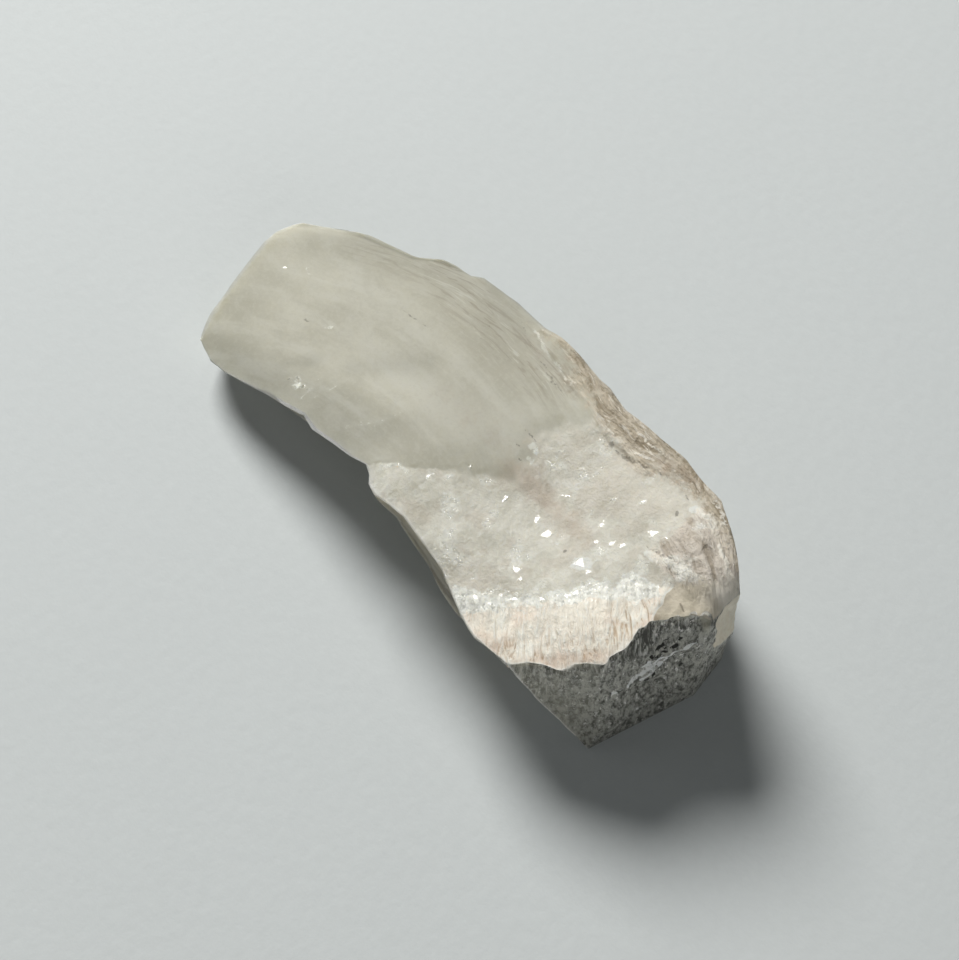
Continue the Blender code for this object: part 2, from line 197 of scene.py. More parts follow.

# Strokes: width, strength, then x and y of each point of a bent line.  First cracks and pits,
# with dark lines of painted shade under the far ridge's crevice and beside the fold crest.
CRACKS_AND_SHADE_LINES = [
    (0.22, 0.6, -32.2, -3.1, -30.7, -2.9), (0.45, 0.25, -22.5, 7.4, -20.8, 8),
    (0.28, 0.5, -20.8, 8, -18.5, 7.9, -15.9, 8.1), (0.22, 0.45, -19.2, 17, -17.5, 16, -16, 15.3),
    (0.2, 0.4, -15.4, 14.9, -12.5, 14.1),
    (0.2, 0.4, -12.5, 16.2, -9.9, 14.9, -6.4, 14.3, -4.3, 14, -2.5, 13.6),
    (0.2, 0.35, -9.9, 14.1, -7.2, 13.2), (0.3, 0.5, -11.9, 18.6, -11.6, 18.5),
    (0.3, 0.45, -6.7, 16.6, -6.5, 16.5), (0.3, 0.4, -7.9, 12.1, -7.7, 12.1),
    (0.3, 0.4, -11.8, 11.8, -11.6, 11.8), (0.35, 0.4, -14.7, 12.3, -14.4, 12.2),
    (0.3, 0.4, -8.5, 19.4, -6.2, 18.8, -3.5, 17.4, -0.8, 16.3, 1.5, 15.6),
    (0.3, 0.5, 1.5, 15.6, 4.1, 14.7, 6.4, 13.7, 8.5, 13.4), (0.6, 0.3, -29.9, -11.9, -27, -11.6),
    (0.22, 0.7, 9.4, 5.2, 11.8, 5), (0.2, 0.6, 9.7, 2.6, 10.5, 2.7),
    (0.3, 0.55, 11.9, 1.3, 12.2, 1.3), (0.4, 0.6, 19.1, 11.4, 20.9, 11.3, 23.2, 11.2, 25.4, 11.6),
    (0.4, 0.5, 25.4, 11.6, 27.5, 12.1, 29, 12.4, 30.5, 12.8),
    (0.35, 0.45, 30.5, 12.8, 33, 13, 35.4, 12),
    (0.3, 0.55, 35.8, 2.9, 37, 2.5, 38.6, 2.7, 40.6, 3.1),
    (0.25, 0.3, 45, 6.6, 46.2, 5.4, 47.8, 4.2), (0.2, 0.85, 46, -0.8, 47, -1.3),
    (0.22, 0.7, 27.9, -4.9, 28.1, -4.9), (0.22, 0.5, 19.6, 8.3, 19.8, 8.3),
    (0.25, 0.4, 16.8, 6.5, 17.1, 6.5), (0.2, 0.6, 28.2, 1.8, 28.6, 1.8),
    (0.22, 0.9, 35, 11.9, 35.3, 11.8), (0.28, 0.9, 35.8, 9.2, 36.2, 8.8),
    (0.35, 0.5, 20.8, 4.8, 21.1, 4.8), (0.3, 0.5, 31.9, -18, 32.1, -18),
    (0.3, 0.5, 41.7, -10.3, 41.9, -10.3)]
# Veils inside the clear part, and broad pale patches.  The patch before the ledge and the one
# over the tip are painted light that lifts places the form's slopes darken.
VEILS_AND_LIGHT_PATCHES = [
    (5.5, 1, -3, -0.8, 3.5, 0.5, 8, 3), (2.6, 1, 49.2, 4.6, 50, 8.6), (5, 0.4, -44, 0, -34, 4),
    (1.8, 0.55, -31.7, 6.3, -22.3, 6.5, -15.9, 7, -10.6, 7.6, -7.7, 8.1),
    (4.5, 0.35, -24, -0.6, -14, -0.8), (3.8, 0.55, 24, 7.6, 34.5, 8.6)]
# Bright seams and splinters, and painted highlights: the white patch at a glint, the streak on
# the fold crest and two bright marks on the knob's outer side.
SEAMS_AND_HIGHLIGHTS = [
    (0.35, 0.5, -20.4, -13.5, -20.3, -11, -20.9, -9.1), (0.3, 0.5, -17.6, -9.8, -17.9, -8),
    (0.3, 0.4, -18.7, -12.6, -18.9, -10.4),
    (0.6, 0.4, -10.6, -12.6, -9.1, -10.9, -7.4, -8.7, -6.5, -7.1, -6.5, -5.7),
    (0.3, 0.6, -28.3, -2.5, -27.8, -1.7, -27.2, -1.2), (0.55, 0.5, -39.8, 3.9, -38.1, 3.3),
    (0.35, 0.6, -3, 19, -0.6, 17.8, 3.2, 16.6, 5.2, 16.3, 8.5, 15.2),
    (0.7, 0.8, 11.9, 4.1, 12.9, 3.9), (1.1, 0.5, 13, 2.1, 14.6, 2.4),
    (1.3, 0.9, 30.6, -5.4, 31.7, -4.6), (0.25, 0.75, 24.3, 12.5, 25.8, 12.9, 27.4, 13.2),
    (0.6, 1, 37.2, 1.7, 39.3, 2, 41.6, 2.6, 44.4, 3),
    (0.45, 1, 43.8, 8.8, 45.8, 7.8, 48, 6.6, 50.2, 5.3), (0.35, 0.9, 47.6, 7, 50, 7.2),
    (0.55, 0.6, 38.5, 14.2, 39.8, 13.6, 41.8, 12.2), (0.9, 0.9, 37.2, 11, 39.1, 11.2),
    (0.35, 0.6, 21.2, 15.6, 24.5, 14.9, 27.5, 15.2)]
RAISED_WIDTH = 1.0            # seams narrower than this stand up from the face
# Warm clouds and stains.
STAINS = [
    (4.5, 0.25, -2, 0.8, 4.9, 2.3, 9.5, 2.4), (2.6, 0.65, 12, -0.5, 17.5, 0, 23, -1, 28.5, -1.8),
    (1.2, 0.35, -2.5, 16.9, 0.5, 16.3, 3.2, 15.2), (0.9, 1, 45.2, -4.7, 44.6, -6.8),
    (1.2, 0.9, 38.4, -18.4, 41.2, -15.7, 44.2, -12.6), (0.9, 0.6, 34.5, -21.2, 37, -19.8),
    (1.5, 0.6, 28.5, -21.5, 31, -21.4), (1.6, 0.2, 37.5, 6.8, 41, 5.6),
    (2, 0.5, 29, 13.6, 34, 14.6)]
# Where fine lines run through the clean blade beside its far edge.
STRIAE = [(4.2, 1, -23, 17.5, -14, 16.5, -4, 14.5, 6, 14), (2.6, 0.6, -37, 12.5, -23, 15.5)]
# Darker soft patches in the clean blade.
SHADES = [(1.8, 0.5, -28.6, -12, -24.4, -7.6), (2.2, 0.35, -18.5, -4.8, -10.5, 3.5)]
# Pits and pale shards of the broken end, by y and z; the pits are cut in and painted near-black as
# shade.
END_PITS = [
    (0.3, 1, -6.6, 18.2, -6.2, 18.6), (0.26, 1, -5.6, 19.1, -5, 19.7),
    (0.24, 1, -4.6, 19.9, -4.2, 20.4), (0.22, 0.9, -3.6, 20.6, -3.4, 20.9),
    (0.32, 1, -5.4, 17.6, -4.6, 18.2), (0.26, 1, -3.4, 18.9, -2.8, 19.5),
    (0.22, 0.9, -6, 17.2, -5.8, 17.5), (0.2, 0.9, -4.4, 18.9, -4, 19.2),
    (0.2, 0.9, -7.2, 17.4, -7, 17.6), (0.2, 0.8, -2.6, 20.2, -2.3, 20.4),
    (0.3, 0.9, -8.6, 11.8, -6.9, 13.2, -5.6, 13.6), (0.3, 0.7, -6, 13.4, -4.7, 13.5),
    (0.3, 0.6, -2.4, 12.2, -1.9, 12.6)]
END_SHARDS = [
    (0.55, 0.9, -10.3, 13.3, -9.4, 14.4), (0.7, 1, -8.6, 15, -6.9, 15.9),
    (0.55, 1, -6.6, 15.2, -5.2, 16.3), (0.32, 1, -4.6, 16.2, -2.6, 17.6),
    (0.3, 1, -2.2, 18, -0.8, 19.2), (0.5, 0.9, -8, 16.6, -6.8, 17),
    (0.4, 0.9, -8.6, 13.4, -6.6, 14.4), (0.35, 1, -5.4, 14.6, -4.2, 15.6),
    (0.8, 0.5, -9.8, 5, -7.3, 5.6), (0.4, 0.6, -12.7, 13.1, -11.4, 13)]
# Painted shade in the hollow under the near edge, by x and z.
NEAR_HOLLOW_SHADE = [(0.9, 1, 15, 14.6, 18.5, 15.2, 23.5, 16.6)]
# Small cleavage faces that catch the lamp: x, y, radius.
GLINTS = [
    (4.9, -9.9, 0.85), (7.9, -4.6, 0.5), (15.2, -4.4, 0.85), (11.8, -11.1, 0.55),
    (20.9, -3.5, 0.75), (23.7, -4.3, 0.95), (17.4, 5.8, 0.7), (21.9, 2, 0.6), (25.2, -11.6, 0.6),
    (26.6, -12.3, 0.5), (31, -5.2, 0.9), (33, -5.4, 0.75), (32.2, 0.1, 0.7), (33.5, 0.5, 0.6),
    (28.8, 1.4, 0.5), (30.2, -1.1, 0.45), (35.4, 4.5, 0.9), (37.6, 5, 0.6), (39.8, 4.8, 0.6),
    (23.7, -18.5, 0.7), (26.2, -17.8, 0.8), (26.3, -15.8, 0.6), (28.2, -15, 0.7),
    (31.2, -12.6, 0.6), (33.7, -9.9, 0.8), (34.2, -8.8, 0.6), (36.7, -8, 0.6), (36, -6.2, 0.55),
    (-23.8, -11.4, 0.6), (-22, -11.8, 0.5), (-24.9, -12.3, 0.5), (-20.8, -11.8, 0.45),
    (-42.5, 1.6, 0.35), (-43.8, 9.9, 0.35), (31, 7.5, 0.45), (27.4, 5.5, 0.45), (24.9, 14.8, 0.4),
    (12.7, 4, 0.5), (20.2, 6.2, 0.4), (29, -17, 0.5)]
GLINT_SIZE = 0.84             # share of the radius that they get
GLINT_HEIGHT = 0.03           # how far they stand up


# ---------------- shared measures
def interp(value, line):
    """Straight-line reading of a list of (place, value) pairs."""
    places, values = np.array(line).T
    return np.interp(value, places, values)


def smooth_step(value):
    """0 below 0, 1 above 1, with an even S between them."""
    clipped = np.clip(value, 0.0, 1.0)
    return clipped * clipped * (3.0 - 2.0 * clipped)


def rise(value, start, width):
    """0 up to the start and 1 from one width further on."""
    return smooth_step((value - start) / width)


def fade(distance, reach):
    """1 at no distance, e to the minus 1 at the reach, and next to nothing at twice that."""
    return np.exp(-(distance / reach) ** 2)


def bump(dx, dy):
    """A round hump, 1 high: e to the minus the squared distance."""
    return np.exp(-(dx * dx + dy * dy))


def rough(points, size, seed):
    """Smooth noise between -1 and 1: random values on a lattice, blended between its points."""
    lattice = np.random.default_rng(seed).uniform(-1.0, 1.0, (24, 24, 24))
    place = points / size + 100.0
    cell = np.floor(place).astype(int)
    part = smooth_step(place - cell)
    total = np.zeros(len(points))
    for corner in np.ndindex(2, 2, 2):
        index = (cell + corner) % len(lattice)
        weight = np.prod(np.where(np.array(corner) == 1, part, 1.0 - part), axis=1)
        total += weight * lattice[index[:, 0], index[:, 1], index[:, 2]]
    return total


def ridged(points, size, seed):
    """Noise with sharp crests: 1 on the crests, down to about -1 between them."""
    return 1.0 - 3.2 * np.abs(rough(points, size, seed))


def strokes(u, v, lines):
    """Strongest weight of soft strokes: full on a stroke's bent line, fading over its width."""
    total = np.zeros(len(u))
    for width, strength, *places in lines:
        points = list(zip(places[::2], places[1::2]))
        apart = np.full(len(u), np.inf)
        for (u0, v0), (u1, v1) in zip(points, points[1:]):
            du, dv = u1 - u0, v1 - v0
            share = np.clip(((u - u0) * du + (v - v0) * dv) / (du * du + dv * dv), 0.0, 1.0)
            apart = np.minimum(apart, np.hypot(u - u0 - share * du, v - v0 - share * dv))
        total = np.maximum(total, strength * fade(apart, width))
    return total


def broken_faces(u, v, size, slope, seed):
    """Height of a broken sugary surface: the highest of the tilted, domed planes that sit on a
    jittered grid round each point."""
    rng = np.random.default_rng(seed)
    count = 48
    middle = rng.uniform(0.1, 0.9, (count, count, 2))
    tilt = rng.normal(0.0, slope, (count, count, 2))
    level = rng.uniform(-0.25, 0.25, (count, count))
    u, v = u / size + 200.0, v / size + 200.0
    cell_u, cell_v = np.floor(u).astype(int), np.floor(v).astype(int)
    best = np.full(len(u), -np.inf)
    for step_u, step_v in np.ndindex(3, 3):
        at_u, at_v = cell_u + step_u - 1, cell_v + step_v - 1
        index = (at_u % count, at_v % count)
        du = u - at_u - middle[index][:, 0]
        dv = v - at_v - middle[index][:, 1]
        plane = level[index] + tilt[index][:, 0] * du + tilt[index][:, 1] * dv
        best = np.maximum(best, plane - 0.55 * (du * du + dv * dv))
    return best * size


# ---------------- the loft
def stations():
    """Places of the sections, 0 at the tip to 1 at the broken end, closer past the ledge."""
    before = np.linspace(0.0, LEDGE_STATION, STATIONS_TIP, endpoint=False)
    return np.concatenate((before, np.linspace(LEDGE_STATION, 1.0, STATIONS_BROKEN)))


def rail_points(rail, place):
    """Points of a rail at every station: x runs evenly, y and z are read off the rail."""
    xs, ys, zs = np.array(rail).T
    x = xs[0] + place * (xs[-1] - xs[0])
    return np.stack((x, np.interp(x, xs, ys), np.interp(x, xs, zs)), axis=-1)


def sections(place):
    """Grid of sections: the rails in order, and between each and the next a straight mix of the
    two in even shares, or in a power of them beside the near edge, where they crowd."""
    corners = [rail_points(rail, place) for rail in RAILS]
    columns = []
    for index, count in enumerate(TOP_STEPS + SIDE_STEPS + BASE_STEPS + NEAR_STEPS):
        start, stop = corners[index], corners[(index + 1) % len(RAILS)]
        share = (np.arange(count) / count)[None, :, None]
        if index == 0:
            share = share ** EDGE_CROWDING
        if index == len(RAILS) - 1:
            share = 1.0 - (1.0 - share) ** EDGE_CROWDING
        columns.append(start[:, None, :] * (1.0 - share) + stop[:, None, :] * share)
    return np.concatenate(columns, axis=1)


def soften(grid, first, last):
    """Average each point with its neighbours, along and across, between two columns."""
    for _ in range(SOFTENING):
        inner = grid[:, first:last]
        across = (grid[:, first - 1:last - 1] + grid[:, first + 1:last + 1]) / 2.0
        grid[:, first:last] = inner * 0.5 + across * 0.5
        middle = grid[1:-1, first:last]
        along = (grid[:-2, first:last] + grid[2:, first:last]) / 4.0
        grid[1:-1, first:last] = middle * 0.5 + along
    return grid


def ruled_x(ring, top, foot, height):
    """x on an end face, ruled from its lower edge up to its upper edge."""
    share = np.clip(ring[:, 2] / height, 0.0, 1.0)
    below = interp(ring[:, 1], foot)
    return below + (interp(ring[:, 1], top) - below) * share


def tip_x(ring):
    """x on the tip's fracture."""
    return ruled_x(ring, TIP_TOP, TIP_FOOT, TIP_HEIGHT)


def end_x(ring):
    """x on the broken end, with the lip's waves near its top."""
    waves = interp(ring[:, 1], END_LIP) - interp(ring[:, 1], END_TOP)
    share = np.clip(ring[:, 2] / END_HEIGHT, 0.0, 1.0)
    return ruled_x(ring, END_TOP, END_FOOT, END_HEIGHT) + waves * share ** LIP_FADE


def cap_rings(rim, face_x, count):
    """Rings that shrink from the rim of an end face to its middle, all on the ruled face."""
    middle = rim.mean(axis=0)
    gap = rim[:, 0] - face_x(rim)
    rings = []
    for index in range(1, count):
        size = 1.0 - index / count
        ring = middle + (rim - middle) * size
        ring[:, 0] = face_x(ring) + gap * size ** 3
        rings.append(ring)
    return np.array(rings)


def wave_lip(body):
    """Bend the last sections so that the broken end's upper edge follows its scalloped lip: x is
    shifted by what the edge lacks, and the shift fades away over a few millimetres."""
    top = FAR_COLUMN - TOP_STEPS[-1]
    rim = body[-1, :top]
    line = np.zeros_like(rim)
    line[:, 0] = rim[:, 1]
    scallops = 0.28 * rough(line, 0.9, 61)
    shift = interp(rim[:, 1], END_LIP) + scallops - rim[:, 0]
    shift *= rise(-rim[:, 1], -2.0, 2.0)
    back = smooth_step(1.0 - (rim[None, :, 0] - body[:, :top, 0]) / LIP_REACH)
    body[:, :top, 0] += shift[None, :] * back
    return body


def crystal_grid():
    """All rings, from the middle of the tip's fracture to the middle of the broken end."""
    body = wave_lip(soften(sections(stations()), 1, FAR_COLUMN - 1))
    tip = cap_rings(body[0], tip_x, TIP_RINGS)[::-1]
    end = cap_rings(body[-1], end_x, END_RINGS)
    return np.concatenate((tip, body, end))


def grid_normals(grid):
    """Outward unit normals: the cross product of the steps along and round the grid."""
    along = np.gradient(grid, axis=0)
    round_it = (np.roll(grid, -1, axis=1) - np.roll(grid, 1, axis=1)) / 2.0
    cross = np.cross(along, round_it)
    return cross / np.maximum(np.linalg.norm(cross, axis=-1, keepdims=True), 1e-9)


# ---------------- zones
def apart(grid, line):
    """Distance of every point of the grid from its own point of a column or a ring."""
    return np.linalg.norm(grid - line, axis=-1)


def edge_zones(grid, zone):
    """Shares that fade with the distance from the near edge, the far edge, the tip's edge and the
    lip: painted bright rims standing in for the glow of the thin edges, painted shade beside the
    clean blade's edges and over the tip's face, and a strip by the lip."""
    first, last = TIP_RINGS - 1, len(grid) - END_RINGS
    place, column = np.arange(len(grid))[:, None], np.arange(grid.shape[1])[None, :]
    body = (place >= first) & (place <= last)
    x, edge_x = grid[..., 0], grid[:, :1, 0]
    from_edge, from_far = apart(grid, grid[:, :1]), apart(grid, grid[:, FAR_COLUMN:FAR_COLUMN + 1])
    from_tip, from_lip = apart(grid, grid[first:first + 1]), apart(grid, grid[last:last + 1])
    patchy = np.clip(0.75 + 0.5 * rough(grid.reshape(-1, 3), 2.5, 81), 0.0, 1.0)
    # Painted highlight: a thin bright rim along the near edge and the lip, for the glow of the
    # thin edges.
    near = fade(from_edge, 0.16) * body * rise(edge_x, -40.0, 12.0)
    near = near * (1.0 - 0.65 * fade(edge_x - 17.0, 6.0)) * patchy.reshape(near.shape)
    near_side = FAR_COLUMN + sum(SIDE_STEPS + BASE_STEPS) + 4
    along = (column < sum(TOP_STEPS[:4])) | (column > near_side)
    lip = fade(from_lip, 0.20) * along * rise(-grid[..., 1], 4.0, 5.0)
    zone.rim = np.maximum(near, lip).reshape(-1)
    # Painted shade: darker colour along the clean blade's near and far edges and over the tip's
    # face.
    deep = 0.65 * fade(from_edge, 7.5) + 0.5 * fade(from_far, 7.0)
    deep = np.maximum(deep * rise(x, -48.0, 12.0) * body, fade(from_far, 0.7) * body)
    deep = deep + np.where(body, 0.25 * fade(from_tip, 1.6), 0.25)
    zone.deep = (np.minimum(deep, 1.0) * rise(-x, -2.0, 10.0)).reshape(-1)
    zone.lip = (np.exp(-from_lip / 5.0) * rise(grid[..., 2], 9.0, 6.0)).reshape(-1)


def facing_zones(p, normal, zone):
    """Shares by the way each point faces: up, to the broken end, to the tip and sideways."""
    zone.top, zone.end = rise(normal[:, 2], 0.25, 0.5), rise(normal[:, 0], 0.45, 0.3)
    zone.tip, zone.off_base = rise(-normal[:, 0], 0.45, 0.3), rise(p[:, 2], 0.0, 2.5)
    zone.wall = np.clip(1.0 - zone.top - zone.end - zone.tip, 0.0, 1.0)
    # The near wall, which the material paints dark as shade.
    zone.near = zone.wall * rise(-p[:, 1], 6.0, 4.0)


def sparkle_share(p, past_rind):
    """Where small bright crystals stand: a band before the rind, the knob, a spot by the tip."""
    x, y = p[:, 0], p[:, 1]
    band = 1.1 * fade(past_rind - 0.7, 2.7) * rise(-y, -1.0, 4.0)
    band = band * np.clip(0.95 + 0.7 * rough(p, 4.0, 95), 0.55, 1.0)
    knob = 0.3 * bump((x - 38.0) / 4.0, (y - 4.5) / 2.2)
    spot = 0.6 * bump((x + 23.2) / 2.4, (y + 12.2) / 1.1)
    return np.maximum(np.maximum(band, knob), spot)


def tooth_share(p):
    """Where the far upper corner of the broken end is pale beige: partly its own skin, partly
    painted light standing in for the glow of the thin corner.
    """
    y, z = p[:, 1], p[:, 2]
    edge = y - 1.6 - 0.10 * (24.0 - z) + 0.5 * rough(p, 1.4, 94) - 1.6 * rise(z, 23.2, 2.2)
    return rise(edge, 0.0, 0.4) * rise(z + 1.2 * rough(p, 2.0, 97), 11.0, 3.0)


def stone_zones(p, zone):
    """Shares of each kind of stone, by the place in plan and the way it faces."""
    x, y, z = p.T
    top, wobble = zone.top, rough(p, 3.0, 3)
    zone.past_ledge = x - interp(y, LEDGE) + 0.8 * wobble + 0.8 * rough(p, 1.3, 8)
    zone.past_crevice = y - interp(x, CREVICE)
    zone.past_arris = x - interp(y, ARRIS)
    zone.along_ridge = rise(x, -8.0, 14.0)
    far_top = np.clip((zone.past_crevice + 2.8 + 1.6 * wobble) / 7.0, 0.0, 1.0)
    far_wall = rise(x + 0.7 * (z - 14.0) + 5.0 * wobble, -8.0, 26.0) * rise(y, 0.0, 4.0)
    zone.fibrous = far_top * rise(x, -15.0, 26.0) * top + far_wall * zone.wall
    zone.fibrous = np.clip(zone.fibrous, 0.0, 1.0)
    past_rind = x - interp(y, RIND_START) + 1.6 * wobble
    zone.rind = np.clip((past_rind + 1.8) / 6.0, 0.0, 1.0) * top * (1.0 - zone.fibrous)
    facet_edge = zone.past_arris + 0.4 * rough(p, 1.2, 6)
    zone.facet = rise(facet_edge, 0.0, 0.8) * rise(-y, -9.0, 2.0) * top
    zone.sugar = rise(zone.past_ledge, -0.4, 2.0 + 6.5 * rise(y, -8.0, 8.0)) * top
    zone.folds = rise(x, 34.5, 6.0) * rise(y, -0.5, 3.0) * top
    zone.sparkle = sparkle_share(p, past_rind) * top * (1.0 - zone.facet)
    zone.tooth = tooth_share(p) * zone.end
    zone.along = x * MM
    zone.across = (y - interp(x, FLOW) + z * (1.0 - top)) * MM


def strayed(p):
    """x, y and z of every point, each moved a little, which gives strokes ragged sides."""
    return (p[:, 0] + 0.28 * rough(p, 0.9, 91), p[:, 1] + 0.28 * rough(p, 0.9, 92),
            p[:, 2] + 0.4 * rough(p, 0.8, 93))


def stroke_zones(p, zone):
    """Shares of the strokes: dark pits and cracks with painted shade lines, pale seams and shards
    with painted highlights, veils with patches of painted light, and stains.
    """
    x, y, z = p.T
    top, end = zone.top, zone.end
    along, across, up = strayed(p)
    hollow_shade = strokes(x, z, NEAR_HOLLOW_SHADE) * zone.wall * rise(-y, 14.0, 2.0)
    # Cracks, with painted shade lines along the crevice; seams, with painted highlight patches.
    cracks, seams = strokes(along, across, CRACKS_AND_SHADE_LINES) * top, strokes(along, across, SEAMS_AND_HIGHLIGHTS) * top
    zone.dark = np.maximum(np.maximum(cracks, strokes(across, up, END_PITS) * end), hollow_shade)
    zone.pale = np.maximum(seams, strokes(across, up, END_SHARDS) * end)
    zone.veil = strokes(x, y, VEILS_AND_LIGHT_PATCHES) * top
    zone.warm = strokes(x, y, STAINS) * top
    zone.striae = strokes(x, y, STRIAE) * top
    # The blade's olive clouds, and painted shade that darkens the broken end towards the bottom.
    clouds_and_end_shade = np.maximum(strokes(x, y, SHADES) * top, end * rise(-z, -13.0, 13.0))
    zone.deep = np.maximum(zone.deep, clouds_and_end_shade)


def trade_corners(p, zone):
    """The end's far corner goes over to fibrous stone, the last of the near wall to the end."""
    x, y = p[:, 0], p[:, 1]
    corner = rise(y + 0.8 * rough(p, 2.0, 96), 8.0, 3.0)
    zone.fibrous = np.maximum(zone.fibrous, zone.end * corner)
    near_end = zone.wall * rise(x, 30.0, 4.0) * rise(-y, 10.0, 3.0)
    zone.end = np.maximum(zone.end * (1.0 - corner), near_end)


# ---------------- relief
def top_relief(p, zone):
    """Height added to the top: the sum of the ledge's drop, round lumps, the ridge past the
    crevice, soft noise, and a slope down past the facet's crest."""
    x, y = p[:, 0], p[:, 1]
    past = zone.past_ledge
    drop = rise(past, 0.0, 1.2) * np.exp(-np.maximum(past, 0.0) / LEDGE_FADE)
    height = -LEDGE_DROP * drop * rise(-y, 2.0, 5.0)
    for centre_x, centre_y, radius_x, radius_y, lift in LUMPS:
        height += lift * bump((x - centre_x) / radius_x, (y - centre_y) / radius_y)
    height += RIDGE_RISE * rise(zone.past_crevice, 0.0, 1.0) * zone.along_ridge
    fibrous = rise(zone.past_crevice, -4.0, 4.0) * (0.3 + 0.7 * zone.along_ridge)
    height += 0.45 * fibrous * rough(p * (0.12, 1.0, 0.3), 2.2, 11)
    broken = rise(x - interp(y, LEDGE), 0.0, 3.0) * (1.0 - fibrous)
    height += 0.12 * broken * rough(p, 3.2, 5) + 0.25 * rough(p * (0.6, 1.0, 1.0), 11.0, 7)
    return height - FACET_SLOPE * np.maximum(zone.past_arris, 0.0) * rise(-y, -4.0, 2.0)


def sugar_relief(p, zone):
    """Broken faces of the sugary zone, and smaller, rougher ones where it sparkles."""
    x, y = p[:, 0], p[:, 1]
    faces = 0.07 * broken_faces(x, y, 3.4, 0.10, 51) + 0.10 * broken_faces(x, y, 1.3, 0.22, 52)
    return faces * zone.sugar + 0.30 * broken_faces(x, y, 0.9, 0.35, 57) * zone.sparkle


def fibre_relief(p, zone):
    """Splintery fibres of the far side, from crested noise drawn out along the blade, and bundles
    of fibres in the rind, from noise drawn out along them."""
    bent = p.copy()
    bent[:, 1] += 1.3 * rough(p, 7.0, 58) + 0.35 * rough(p, 2.6, 59)
    fibres = 0.20 * ridged(bent * (0.13, 1.0, 0.2), 2.0, 53)
    fibres += 0.10 * ridged(bent * (0.16, 1.0, 0.2), 0.95, 54)
    fibres += 0.16 * rough(p * (0.5, 1.0, 1.0), 2.4, 60)
    across = RIND_ACROSS[0] * p[:, 0] + RIND_ACROSS[1] * p[:, 1]
    along = RIND_ACROSS[1] * p[:, 0] - RIND_ACROSS[0] * p[:, 1]
    bundles = np.stack((across, p[:, 2] * 0.1, along * 0.12), axis=1)
    bundled = 0.07 * rough(bundles, 1.1, 55) + 0.06 * rough(p, 1.2, 62)
    return fibres * zone.fibrous + bundled * zone.rind


def fold_relief(p, zone):
    """Folds down the right side: crested noise of the distance across the line of flow."""
    x, y, z = p.T
    flowing = np.stack((x * 0.22, y - interp(x, FLOW), z * 0.2), axis=1)
    flowing += 0.8 * rough(p, 2.2, 64)[:, None]
    folded = 0.20 * ridged(flowing, 1.7, 65) + 0.10 * ridged(flowing, 0.8, 66)
    return folded * zone.folds * (1.0 - zone.fibrous) * (1.0 - zone.facet)


def line_relief(p, zone):
    """Crests along the ledge and beside the facet, cracks cut in, and thin seams raised."""
    y = p[:, 1]
    height = 0.12 * fade(zone.past_ledge, 0.5) * rise(-y, 1.0, 5.0) * rough(p, 0.8, 63)
    along, across, _ = strayed(p)
    thin = [line for line in SEAMS_AND_HIGHLIGHTS if line[0] < RAISED_WIDTH]
    height += 0.13 * strokes(along, across, thin) * zone.top - 0.11 * zone.dark
    crest = fade(zone.past_arris + 0.3 * rough(p, 1.0, 67), 0.45)
    return height + 0.14 * crest * zone.rind * rise(-y, -3.0, 2.0)


def fine_relief(p, zone):
    """Finer height of the top, with the faint waves of the clean blade."""
    clear = (1.0 - rise(zone.past_ledge, 0.0, 1.5)) * (1.0 - zone.fibrous)
    waves = 0.05 * rough(p * (0.25, 1.0, 1.0), 2.0, 56) * clear
    return (waves + sugar_relief(p, zone) + fibre_relief(p, zone) + fold_relief(p, zone)
            + line_relief(p, zone))


def wall_relief(p):
    """How far the sides stand out: noise drawn out along the blade, as striations and steps."""
    striations = 0.35 * rough(p * (0.10, 0.4, 1.0), 1.9, 21)
    steps = 0.9 * rise(rough(p * (0.16, 0.3, 1.0), 5.0, 23) * 3.0, -0.5, 1.0) - 0.45
    fine = 0.12 * rough(p * (0.08, 0.4, 1.0), 0.7, 25)
    return striations + steps + fine


def end_relief(p):
    """How far the broken end stands out: lumps of noise, less round dents and pits, with upright
    fibres and shards on it."""
    y, z = p[:, 1], p[:, 2]
    depth = 0.30 * rough(p * (1.0, 1.0, 0.35), 2.4, 31) + 0.35 * rough(p, 6.0, 33)
    for centre_y, centre_z, radius_y, radius_z, dent in END_DENTS:
        depth -= dent * bump((y - centre_y) / radius_y, (z - centre_z) / radius_z)
    depth += 0.06 * rough(p * (1.0, 1.0, 0.2), 0.9, 35) + 0.10 * rough(p, 0.9, 37)
    shards = strokes(y, z, END_SHARDS) * (0.5 + rough(p * (1.0, 0.6, 1.6), 0.7, 38))
    return depth - 0.3 * strokes(y, z, END_PITS) + 0.35 * shards


def relieved(p, normal, zone):
    """Every point, moved by the relief of the side that it belongs to."""
    x, y, z = p.T
    shift = np.zeros_like(p)
    lifted = np.maximum(zone.top, zone.end * rise(z, 12.0, 10.0))
    shift[:, 2] += top_relief(p, zone) * lifted + fine_relief(p, zone) * zone.top
    calm = 1.0 - 0.8 * rise(x, 24.0, 8.0) * rise(-y, 8.0, 4.0)
    under = rise(-y, 8.0, 4.0) * rise(-x, -2.0, 6.0)
    out = wall_relief(p) * calm * (1.0 - 0.7 * under) - 0.35 * under
    shift += normal * (out * zone.wall * zone.off_base)[:, None]
    shift[:, 0] += end_relief(p) * zone.end * zone.off_base
    shift[:, 0] += 0.5 * rough(p * (1.0, 0.7, 1.0), 5.0, 41) * zone.tip * zone.off_base
    shift[:, 2] -= 1.4 * zone.lip ** 3 * rise(y, -1.0, 4.0) * rise(z, 16.0, 6.0)
    return p + shift


def plane_off(p, point, facing):
    """Push every point that stands beyond a plane back onto it, which leaves a flat face."""
    facing = unit(facing)
    beyond = np.maximum((p - np.array(point)) @ facing, 0.0)
    return p - beyond[:, None] * facing


